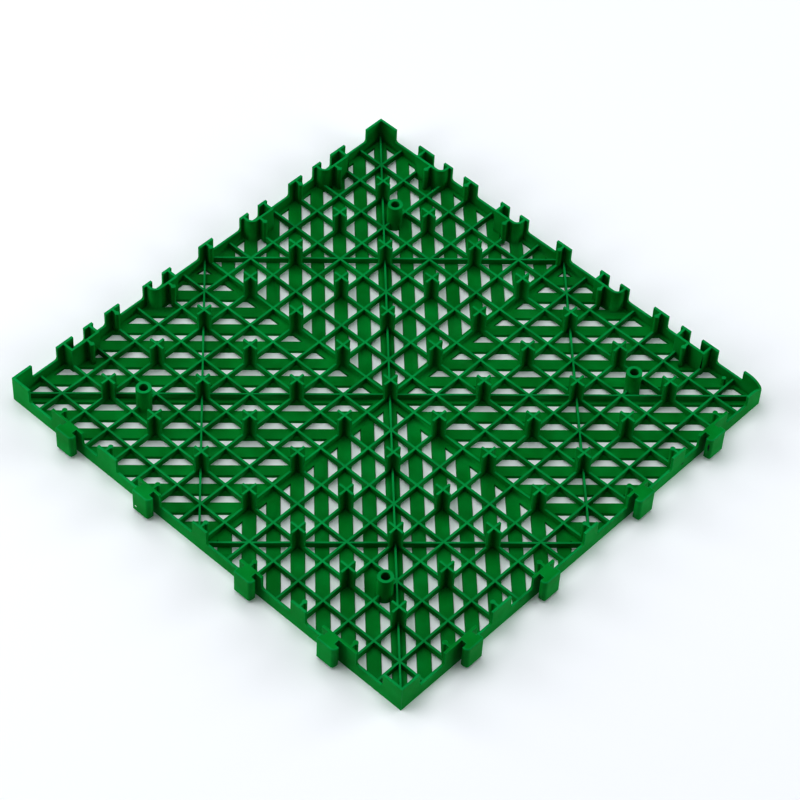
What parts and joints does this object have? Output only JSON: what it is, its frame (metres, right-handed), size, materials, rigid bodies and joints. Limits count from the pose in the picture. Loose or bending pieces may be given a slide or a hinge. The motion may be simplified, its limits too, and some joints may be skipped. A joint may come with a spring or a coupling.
{
  "type": "plastic floor grating",
  "caption": "Square interlocking plastic floor grating tile with slatted tread, square rib grid, plus-shaped feet, hooks on two edges and sockets on the other two.",
  "frame": {"origin": "centre of the tread face, on the floor that the tile lies on", "axes": "+Z from the tread face up to the foot tips; +X and +Y along the rim, with the sockets on the -X and +Y edges and the hooks on the +X and -Y edges"},
  "size_m": [0.3072, 0.3072, 0.018],
  "materials": {
    "green_plastic": "satin moulded polypropylene, green through its thickness"
  },
  "bodies": {
    "root": {"floor_grating": "green_plastic"}
  },
  "joints": []
}
